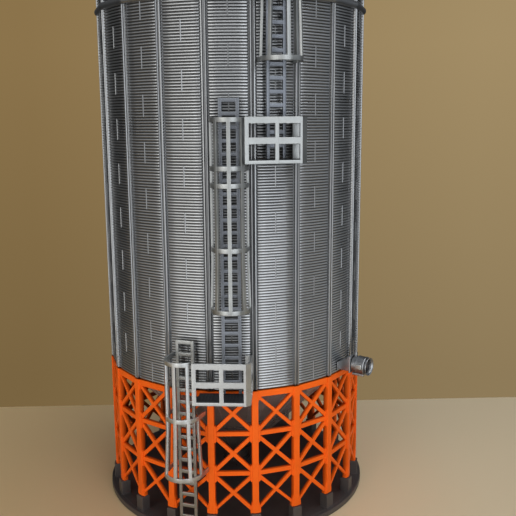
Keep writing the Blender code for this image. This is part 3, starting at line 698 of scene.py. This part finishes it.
# --------------------------------------------------------------------- roof
def build_roof():
    shell = Shell()
    slope = math.tan(ROOF_PITCH)
    rise = (ROOF_R - ROOF_PEAK_R) * slope
    drop = ROOF_T / math.cos(ROOF_PITCH)
    inner = 69.05
    top = ROOF_Z0 + EAVE + rise
    profile = [(ROOF_R - 0.15, ROOF_Z0), (ROOF_R, ROOF_Z0 + 0.2), (ROOF_R, ROOF_Z0 + EAVE - 0.25),
               (ROOF_R - 0.35, ROOF_Z0 + EAVE + 0.05), (ROOF_PEAK_R + 0.3, top - 0.17),
               (ROOF_PEAK_R, top - 0.3), (ROOF_PEAK_R, top - drop),
               (inner, ROOF_Z0 + EAVE + (ROOF_R - inner) * slope - drop + 0.9), (inner, ROOF_Z0)]
    turned(shell, profile, BAYS, PHASE)
    # ribs along the panels' joints, two panels a bay, and ring laps between them
    for k in range(2 * BAYS):
        a = PHASE + k * HALF
        scale = 1.0 if k % 2 == 0 else math.cos(HALF)
        rings = []
        for r in (ROOF_R - 0.6, ROOF_PEAK_R + 3.0):
            z = ROOF_Z0 + EAVE + (ROOF_R - r) * slope
            r = r * scale
            up = Vector((math.sin(ROOF_PITCH), math.cos(ROOF_PITCH)))
            pts = ((-0.3, -0.75), (0.55, -0.62), (0.85, -0.4), (0.85, 0.4), (0.55, 0.62), (-0.3, 0.75))
            rings.append([polar(r + n * up.x, a, z + n * up.y, t) for n, t in pts])
        loft(shell, rings)
    for r in (57.0, 41.0, 25.0):
        z = ROOF_Z0 + EAVE + (ROOF_R - r) * slope
        lap = [(r + 0.6, z - 0.7), (r + 0.6, z - 0.05), (r + 0.25, z + 0.28), (r - 0.5, z + 0.55),
               (r - 0.9, z + 0.2), (r - 0.9, z - 0.2)]
        turned(shell, lap, BAYS, PHASE)
    finish("roof_cone", shell, ROOF, ["roof"])

    cap = Shell()
    profile = [(0.0001, top + 0.4), (0.0001, top + 5.5), (0.7, top + 5.6), (1.15, top + 5.35),
               (1.25, top + 4.95), (2.2, top + 4.55), (6.0, top + 3.05), (9.0, top + 1.9),
               (CAP_R - 0.15, top + 1.5), (CAP_R, top + 1.2), (CAP_R, top + 0.5), (CAP_R - 0.2, top + 0.33),
               (7.0, top + 0.33)]
    profile = [(r if r > 0.01 else 0.35, z) for r, z in profile]
    turned(cap, profile, 64)
    for k in range(12):
        a = 2 * math.pi * k / 12
        rings = []
        for r, z in ((9.2, top + 1.85), (2.6, top + 4.4)):
            rings.append([polar(r, a, z + n, t) for n, t in ((-0.3, -0.4), (0.3, -0.3), (0.3, 0.3), (-0.3, 0.4))])
        loft(cap, rings)
    finish("roof_vent_cap", cap, ROOF, ["roof_cap"])

    hatch = Shell()
    az = LADDER_AZ[2]
    apothem = math.cos(HALF)
    foot = Vector((ROOF_R * apothem, ROOF_Z0 + EAVE))
    along = Vector((-(ROOF_R - ROOF_PEAK_R) * apothem, rise)).normalized()
    normal = Vector((along.y, -along.x))

    def plate(s0, s1, n0, n1, w, edge):
        p = [foot + along * s + normal * n for s, n in ((s0, n0), (s1, n0), (s1, n1), (s0, n1))]
        hatch.add_bm(soften(prism([polar(q.x, az, q.y, -w) for q in p],
                                  [polar(q.x, az, q.y, w) for q in p]), edge, 2))
    plate(5.0, 15.0, 0.4, 1.5, 4.6, 0.25)
    plate(5.5, 14.5, 1.3, 2.1, 4.1, 0.3)
    plate(9.2, 10.8, 1.9, 2.7, 1.6, 0.25)
    for t in (-2.6, 2.6):
        p = [foot + along * s + normal * n for s, n in ((14.2, 1.4), (15.2, 1.4), (15.2, 2.3), (14.2, 2.3))]
        hatch.add_bm(soften(prism([polar(q.x, az, q.y, t - 0.8) for q in p],
                                  [polar(q.x, az, q.y, t + 0.8) for q in p]), 0.2, 2))
    finish("roof_hatch_cover", hatch, ROOF, ["roof_hatch"])


# ------------------------------------------------------------------ ladders
def build_ladders():
    names = ("lower_ladder", "middle_ladder", "upper_ladder")
    face = VALLEY
    for name, az, shift, (z0, z1), pitch, ties in zip(names, LADDER_AZ, LADDER_SHIFT, LADDER_Z,
                                                      RUNG_PITCH, WALL_TIES):
        shell = Shell()
        for side in (-1, 1):
            c = shift + side * RAIL_C
            box(shell, az, c - RAIL_W / 2, c + RAIL_W / 2, LADDER_D0, LADDER_D1, z0, z1, 0.22, 2)
        z = z1 - RUNG_H / 2.0 - 0.02
        while z > z0 + 1.5:
            box(shell, az, shift - RAIL_C, shift + RAIL_C, LADDER_D0 + 0.12, LADDER_D1 - 0.12,
                z - RUNG_H / 2, z + RUNG_H / 2, 0.26, 2)
            z -= pitch
        for tie in ties:
            for side in (-1, 1):
                c = shift + side * RAIL_C
                box(shell, az, c - 0.6, c + 0.6, face + 0.1, LADDER_D0 + 0.5, tie - 0.8, tie + 0.8, 0.15, 1)
        finish(name + "_bars", shell, LADDER_LIT if name.startswith("lower") else LADDER,
               [name])


# -------------------------------------------------------------------- cages
class CageFrame:
    def __init__(self, az, turn, shift):
        self.az, self.turn, self.shift = az, math.radians(turn), shift

    def bay(self, u, v):
        c, s = math.cos(self.turn), math.sin(self.turn)
        return (self.shift + u * c + v * s, CAGE_C + v * c - u * s)

    def point(self, u, v, z):
        t, d = self.bay(u, v)
        return polar(d, self.az, z, t)

    def reach(self, u, face):
        return (face - CAGE_C + u * math.sin(self.turn)) / math.cos(self.turn)


def hoop(shell, place, radius, z, first, last, right_arm):
    face = CREST + 0.1
    if abs(z - (BAND_Z0 + BAND_Z1) / 2.0) < 3.2:
        face = BAND_OUT * COS9 + 0.15
    if z > WALL_Z1 - 3.0:
        face = ROOF_R * COS9 + 0.2
    if z < WALL_Z0:
        face = LEG_OUT
    mid = radius - HOOP_T / 2.0
    n = max(4, int(round((last - first) / 7.5)))
    line = []
    for k in range(n + 1):
        a = math.radians(first + (last - first) * k / n)
        line.append((mid * math.sin(a), mid * math.cos(a)))
    line.insert(0, (line[0][0], place.reach(line[0][0], face)))
    if right_arm:
        line.append((line[-1][0], place.reach(line[-1][0], face)))
    section = round_section(HOOP_T, HOOP_H, 0.26, 2)
    rings = []
    for i, p in enumerate(line):
        a = Vector(line[max(i - 1, 0)])
        b = Vector(line[min(i + 1, len(line) - 1)])
        p = Vector(p)
        d1 = (p - a).normalized() if (p - a).length > 1e-6 else (b - p).normalized()
        d2 = (b - p).normalized() if (b - p).length > 1e-6 else d1
        t = (d1 + d2).normalized()
        side = Vector((t.y, -t.x))
        grow = 1.0 / max(0.5, math.sqrt(max(0.0, (1.0 + d1.dot(d2)) / 2.0)))
        rings.append([place.point(p.x + side.x * x * grow, p.y + side.y * x * grow, z + y)
                      for x, y in section])
    loft(shell, rings)


def cage_bar(shell, place, angle, stations):
    """Flat upright strip through stations of (radius of its outer face, z)."""
    a = math.radians(angle)
    c, s = Vector((math.sin(a), math.cos(a))), Vector((math.cos(a), -math.sin(a)))
    section = round_section(BAR_W, BAR_T, 0.24, 2)
    rings = []
    for radius, z in stations:
        rings.append([place.point(*(c * (radius - BAR_T / 2.0 + y) + s * x), z) for x, y in section])
    loft(shell, rings)


def build_cages():
    names = ("lower_ladder_cage", "middle_ladder_cage", "upper_ladder_cage")
    for name, az, flare, (turn, shift, cage_r, angles, levels, open_from) in zip(
            names, LADDER_AZ, CAGE_FLARE, CAGES):
        place = CageFrame(az, turn, shift)
        shell = Shell()
        for i, z in enumerate(levels):
            radius = cage_r + (flare if i == 0 else 0.0)
            open_side = open_from is not None and z > open_from
            hoop(shell, place, radius, z, angles[0], 56.0 if open_side else angles[-1], not open_side)
        bottom, second, top = levels[0], levels[1], levels[-1]
        for angle in angles:
            hi = top
            if angle == angles[-1] and open_from is not None:
                hi = max(z for z in levels if z <= open_from)
            stations = [(cage_r + flare - 0.02, bottom - HOOP_H / 2 + 0.2),
                        (cage_r + flare - 0.02, bottom + HOOP_H / 2),
                        (cage_r + 0.04, second - 6.0), (cage_r + 0.04, hi + HOOP_H / 2 - 0.2)]
            cage_bar(shell, place, angle, stations)
        finish(name + "_bars", shell, RAIL if name.startswith("lower") else RAIL_SHADED,
               [name])


# ---------------------------------------------------------------- platforms
def build_platforms():
    rng = random.Random(11)
    for prefix, ladder_az, platform in zip(("lower", "upper"), (LADDER_AZ[1], LADDER_AZ[2]), PLATFORMS):
        turn, z0, left, mid_post, right, chamfer = platform
        az = ladder_az + math.radians(turn)
        z1 = z0 + DECK_T
        side = right + chamfer
        front = PLAT_D1 - PANEL_T - 0.15
        edge = side - PANEL_T - 0.15
        cut = chamfer + 0.4
        deck = Shell()
        column(deck, az, [(edge, PLAT_D0), (edge, front - cut), (edge - cut, front),
                          (left + 0.3, front), (left + 0.3, 77.2), (left + 2.0, 75.6),
                          (left + 2.0, PLAT_D0)], z0, z1, 0.2)
        # tread bars across the deck
        t = left + 2.6
        while t < edge - 1.0:
            f = front - 0.6 - max(0.0, t - (edge - cut) + 0.5)
            box(deck, az, t, t + 0.55, PLAT_D0 + 0.6, f, z1 - 0.3, z1 + 0.12, 0.12, 1)
            t += 1.5
        finish(prefix + "_platform_floor", deck, DECK, [prefix + "_platform_deck"])

        shell = Shell()
        top, mid = z0 + RAIL_TOP, z0 + MID_RAIL
        d0, d1 = PLAT_D1 - PANEL_T, PLAT_D1
        slant = PANEL_T * math.tan(math.radians(22.5))
        corner = [(right - 0.01, d1), (side, d1 - chamfer), (side, d1 - chamfer - 0.6),
                  (side - PANEL_T, d1 - chamfer - 0.6), (side - PANEL_T, d1 - chamfer - slant),
                  (right - slant, d0), (right - slant - 0.6, d0), (right - slant - 0.6, d1)]
        column(shell, az, corner, z0, top, 0.2)
        for i, (za, zb) in enumerate(((z0, z1 + 0.2), (mid - RAIL_H / 2, mid + RAIL_H / 2), (top - RAIL_H, top))):
            if i == 0:
                box(shell, az, left, right - 0.1, d0 + 0.02, d1 - 0.02, za, zb, 0.22)
            else:
                # the underside of a bridged rail prints a little ragged
                n = 34
                outline = [(left, zb), (right - 0.1, zb)]
                for k in range(n + 1):
                    x = right - 0.1 + (left - right + 0.1) * k / n
                    outline.append((x, za + (0.0 if k in (0, n) else rng.uniform(-0.16, 0.10))))
                panel(shell, az, outline[::-1], d0 + 0.02, d1 - 0.02, 0.14, 1)
            back = PLAT_D0 if za < RING_TOP + 0.32 else FLANGE_D[0]
            box(shell, az, side - PANEL_T + 0.02, side - 0.02, back, d1 - chamfer - 0.1, za, zb, 0.2)
        for a, b in ((left, left + POST_W), mid_post):
            box(shell, az, a, b, d0, d1, z0 + 0.02, top - 0.02, 0.24)
        foot = max(z0, RING_TOP + 0.32)
        box(shell, az, side - FLANGE_W, side, FLANGE_D[0], FLANGE_D[1], foot, top, 0.25)
        if foot > z0:
            box(shell, az, side - PANEL_T, side, PLAT_D0, PLAT_D0 + POST_W, z0, foot + 0.5, 0.2)
        finish(prefix + "_platform_rails", shell, RAIL if prefix == "lower" else RAIL_SHADED,
               [prefix + "_platform_railing"])


# ---------------------------------------------------------------------- fan
def build_fan():
    az = FAN_AZ

    def around(r, a, d):
        return polar(d, az, FAN_Z + r * math.cos(a), r * math.sin(a))

    duct = Shell()
    inner = [polar(70.4, az, z, t) for t, z in ((-3.4, 78.6), (3.4, 78.6), (3.4, 82.4), (-3.4, 82.4))]
    outer = [polar(77.6, az, z, t) for t, z in ((-4.2, 79.0), (4.2, 79.0), (4.2, 87.0), (-4.2, 87.0))]
    duct.add_bm(soften(prism(inner, outer), 0.3, 3))
    box(duct, az, -3.8, 3.8, 70.3, 70.95, 78.1, 82.9, 0.2, 2)
    box(duct, az, -4.5, 4.5, 77.5, 78.5, 78.3, 87.2, 0.22, 3)
    finish("fan_transition", duct, TRIM, ["fan_duct"])

    body = Shell()
    ribs = [(2.0, 78.82), (4.25, 78.82), (4.4, 79.0), (4.4, 80.95), (4.75, 81.0), (4.9, 81.2),
            (4.9, 81.7), (4.78, 81.8), (4.78, 85.1), (4.9, 85.2), (4.9, 85.7), (4.7, 86.0),
            (3.75, 86.0), (3.65, 85.8), (3.65, 84.2), (2.0, 84.2)]
    turned(body, ribs, 64, place=around)
    turned(body, [(0.3, 78.9), (2.2, 78.9), (2.2, 84.1), (0.3, 84.1)], 48, place=around)
    box(body, az, -3.2, 3.2, 78.82, 85.4, FAN_Z - 5.0, FAN_Z - 3.8, 0.25, 3)
    box(body, az, -0.6, 0.6, 79.0, 80.2, FAN_Z + 4.0, FAN_Z + 6.6, 0.3, 3)
    finish("fan_drum", body, TRIM, ["fan_housing"])

    bell = Shell()
    turned(bell, [(3.6, 86.12), (3.85, 86.12), (3.95, 86.5), (4.2, 86.85), (4.6, 87.1), (4.72, 87.3),
                  (4.65, 87.5), (4.4, 87.46), (4.05, 87.2), (3.75, 86.8), (3.6, 86.4)], 64, place=around)
    turned(bell, [(0.3, 84.26), (3.6, 84.26), (3.6, 84.5), (0.3, 84.5)], 48, place=around)
    # hub and blades seen through the mouth
    turned(bell, [(0.2, 84.4), (1.1, 84.4), (1.1, 85.5), (0.8, 85.8), (0.2, 85.9)], 32, place=around)
    for k in range(6):
        a = 2 * math.pi * k / 6
        rings = []
        for r, tw, w in ((0.9, 0.55, 0.5), (2.1, 0.42, 0.75), (3.35, 0.3, 1.0)):
            ring = []
            for x, y in ((-w, -0.12), (w, -0.12), (w, 0.12), (-w, 0.12)):
                ang = a + (x * math.cos(tw) / r)
                ring.append(around(r, ang, 85.1 + x * math.sin(tw) + y))
            rings.append(ring)
        loft(bell, rings)
    fitted = finish("fan_bell", bell, TRIM, ["fan_inlet_bell"])
    # the hub, the blades and the plate behind them, inside the bell's mouth, are given the dark slate material
    fitted.data.materials.append(SLATE)
    axis = Vector(polar(1.0, az))
    for face in fitted.data.polygons:
        if face.center.dot(axis) / MM < 86.05:
            face.material_index = 1

    ctrl = Shell()
    box(ctrl, az, -6.1, -5.0, 82.3, 85.6, FAN_Z - 0.7, FAN_Z + 2.1, 0.3, 3)
    box(ctrl, az, -6.22, -5.9, 82.6, 85.3, FAN_Z - 0.4, FAN_Z + 1.8, 0.13, 2)
    box(ctrl, az, -5.2, -4.7, 83.2, 84.7, FAN_Z, FAN_Z + 1.4, 0.1, 1)
    finish("fan_switch_box", ctrl, RAIL, ["fan_control_box"])


build_wall()
build_band()
build_frames()
build_base()
build_hopper()
build_roof()
build_ladders()
build_cages()
build_platforms()
build_fan()

# ------------------------------------------------------------------- camera
cam_data = bpy.data.cameras.new("camera")
camera = bpy.data.objects.new("camera", cam_data)
COLLECTION.objects.link(camera)
SCENE.camera = camera
cam_data.sensor_fit = "HORIZONTAL"
cam_data.sensor_width = 36.0
cam_data.lens = 723.6 * 36.0 / 516.0
cam_data.clip_start = 0.01
pitch, yaw, roll = math.radians(10.543), math.radians(1.926), math.radians(-0.381)
forward = Vector((math.sin(yaw) * math.cos(pitch), math.cos(yaw) * math.cos(pitch), -math.sin(pitch)))
right = Vector((math.cos(yaw), -math.sin(yaw), 0.0))
up = right.cross(forward)
r2 = right * math.cos(roll) + up * math.sin(roll)
u2 = -right * math.sin(roll) + up * math.cos(roll)
camera.matrix_world = Matrix(((r2.x, u2.x, -forward.x, 0.0), (r2.y, u2.y, -forward.y, -0.41012),
                              (r2.z, u2.z, -forward.z, 0.20697), (0.0, 0.0, 0.0, 1.0)))

# -------------------------------------------------------------- floor, light
SCENE.view_settings.view_transform = "Standard"

floor_mat = bpy.data.materials.new("floor")
floor_mat.use_nodes = True
fb = floor_mat.node_tree.nodes["Principled BSDF"]
fb.inputs["Roughness"].default_value = 0.6
# a plain table top with painted light: its base colour grows paler towards the right, where more light falls
ft = floor_mat.node_tree
place = ft.nodes.new("ShaderNodeTexCoord")
apart = ft.nodes.new("ShaderNodeSeparateXYZ")
ft.links.new(place.outputs["Object"], apart.inputs["Vector"])
paler = ft.nodes.new("ShaderNodeMapRange")
paler.inputs["From Min"].default_value, paler.inputs["From Max"].default_value = -0.13, 0.14
ft.links.new(apart.outputs["X"], paler.inputs["Value"])
cloth = ft.nodes.new("ShaderNodeMix")
cloth.data_type = "RGBA"
cloth.inputs[6].default_value = (0.88, 0.63, 0.33, 1.0)
cloth.inputs[7].default_value = (0.97, 0.79, 0.53, 1.0)
ft.links.new(paler.outputs["Result"], cloth.inputs[0])
ft.links.new(cloth.outputs[2], fb.inputs["Base Color"])
floor_mesh = bpy.data.meshes.new("floor")
floor_mesh.from_pydata([(-0.6, -0.20, 0), (0.6, -0.20, 0), (0.6, 0.107, 0), (-0.6, 0.107, 0)], [], [(0, 1, 2, 3)])
floor = bpy.data.objects.new("floor", floor_mesh)
COLLECTION.objects.link(floor)
floor_mesh.materials.append(floor_mat)

world = bpy.data.worlds.new("studio")
SCENE.world = world
world.use_nodes = True
wt = world.node_tree
bg = wt.nodes["Background"]
bg.inputs["Strength"].default_value = 1.0
# the backdrop is a little lighter to the right and higher up
heading = wt.nodes.new("ShaderNodeTexCoord")
split = wt.nodes.new("ShaderNodeSeparateXYZ")
wt.links.new(heading.outputs["Generated"], split.inputs["Vector"])
across = wt.nodes.new("ShaderNodeMapRange")
across.inputs["From Min"].default_value, across.inputs["From Max"].default_value = -0.26, 0.32
wt.links.new(split.outputs["X"], across.inputs["Value"])
height = wt.nodes.new("ShaderNodeMapRange")
height.inputs["From Min"].default_value, height.inputs["From Max"].default_value = -0.32, 0.10
height.inputs["To Min"].default_value, height.inputs["To Max"].default_value = 0.74, 1.0
wt.links.new(split.outputs["Z"], height.inputs["Value"])
tint = wt.nodes.new("ShaderNodeMix")
tint.data_type = "RGBA"
tint.inputs[6].default_value = (0.258, 0.172, 0.071, 1.0)
tint.inputs[7].default_value = (0.362, 0.264, 0.132, 1.0)
wt.links.new(across.outputs["Result"], tint.inputs[0])
wt.links.new(tint.outputs[2], bg.inputs["Color"])
wt.links.new(height.outputs["Result"], bg.inputs["Strength"])
dim = wt.nodes.new("ShaderNodeBackground")
dim.inputs["Color"].default_value = (0.03, 0.031, 0.032, 1.0)
dim.inputs["Strength"].default_value = 1.0
path = wt.nodes.new("ShaderNodeLightPath")
mixer = wt.nodes.new("ShaderNodeMixShader")
wt.links.new(path.outputs["Is Camera Ray"], mixer.inputs["Fac"])
wt.links.new(dim.outputs["Background"], mixer.inputs[1])
wt.links.new(bg.outputs["Background"], mixer.inputs[2])
wt.links.new(mixer.outputs["Shader"], wt.nodes["World Output"].inputs["Surface"])


def soft_light(name, place, aim, wide, tall, radiance, colour):
    data = bpy.data.lights.new(name, "AREA")
    data.shape = "RECTANGLE"
    data.size, data.size_y = wide, tall
    data.energy = radiance * math.pi * wide * tall
    data.color = colour
    lamp = bpy.data.objects.new(name, data)
    COLLECTION.objects.link(lamp)
    lamp.location = place
    lamp.rotation_euler = (Vector(aim) - Vector(place)).to_track_quat("-Z", "Y").to_euler()
    lamp.visible_camera = False


def ring_place(azimuth, distance, height):
    a = math.radians(azimuth)
    return (distance * math.sin(a), -distance * math.cos(a), height)


soft_light("key", ring_place(-38, 1.4, 0.15), (0.0, 0.0, 0.15), 0.92, 1.9, 1.28, (0.99, 0.98, 0.935))
soft_light("front", ring_place(-4, 1.4, 0.15), (0.0, 0.0, 0.15), 1.9, 1.9, 0.90, (0.965, 0.98, 0.985))
soft_light("window", ring_place(29, 1.4, 0.15), (0.0, 0.0, 0.15), 0.84, 1.9, 1.34, (0.90, 0.95, 1.0))
soft_light("left", ring_place(-74, 1.4, 0.15), (0.0, 0.0, 0.15), 0.80, 1.9, 0.34, (0.98, 0.98, 0.97))
soft_light("side", ring_place(86, 1.4, 0.15), (0.0, 0.0, 0.15), 1.30, 1.9, 0.33, (0.86, 0.93, 1.0))
soft_light("overhead", (0.40, -0.20, 1.50), (0.12, 0.0, 0.0), 1.3, 1.3, 1.5, (0.97, 0.99, 1.0))
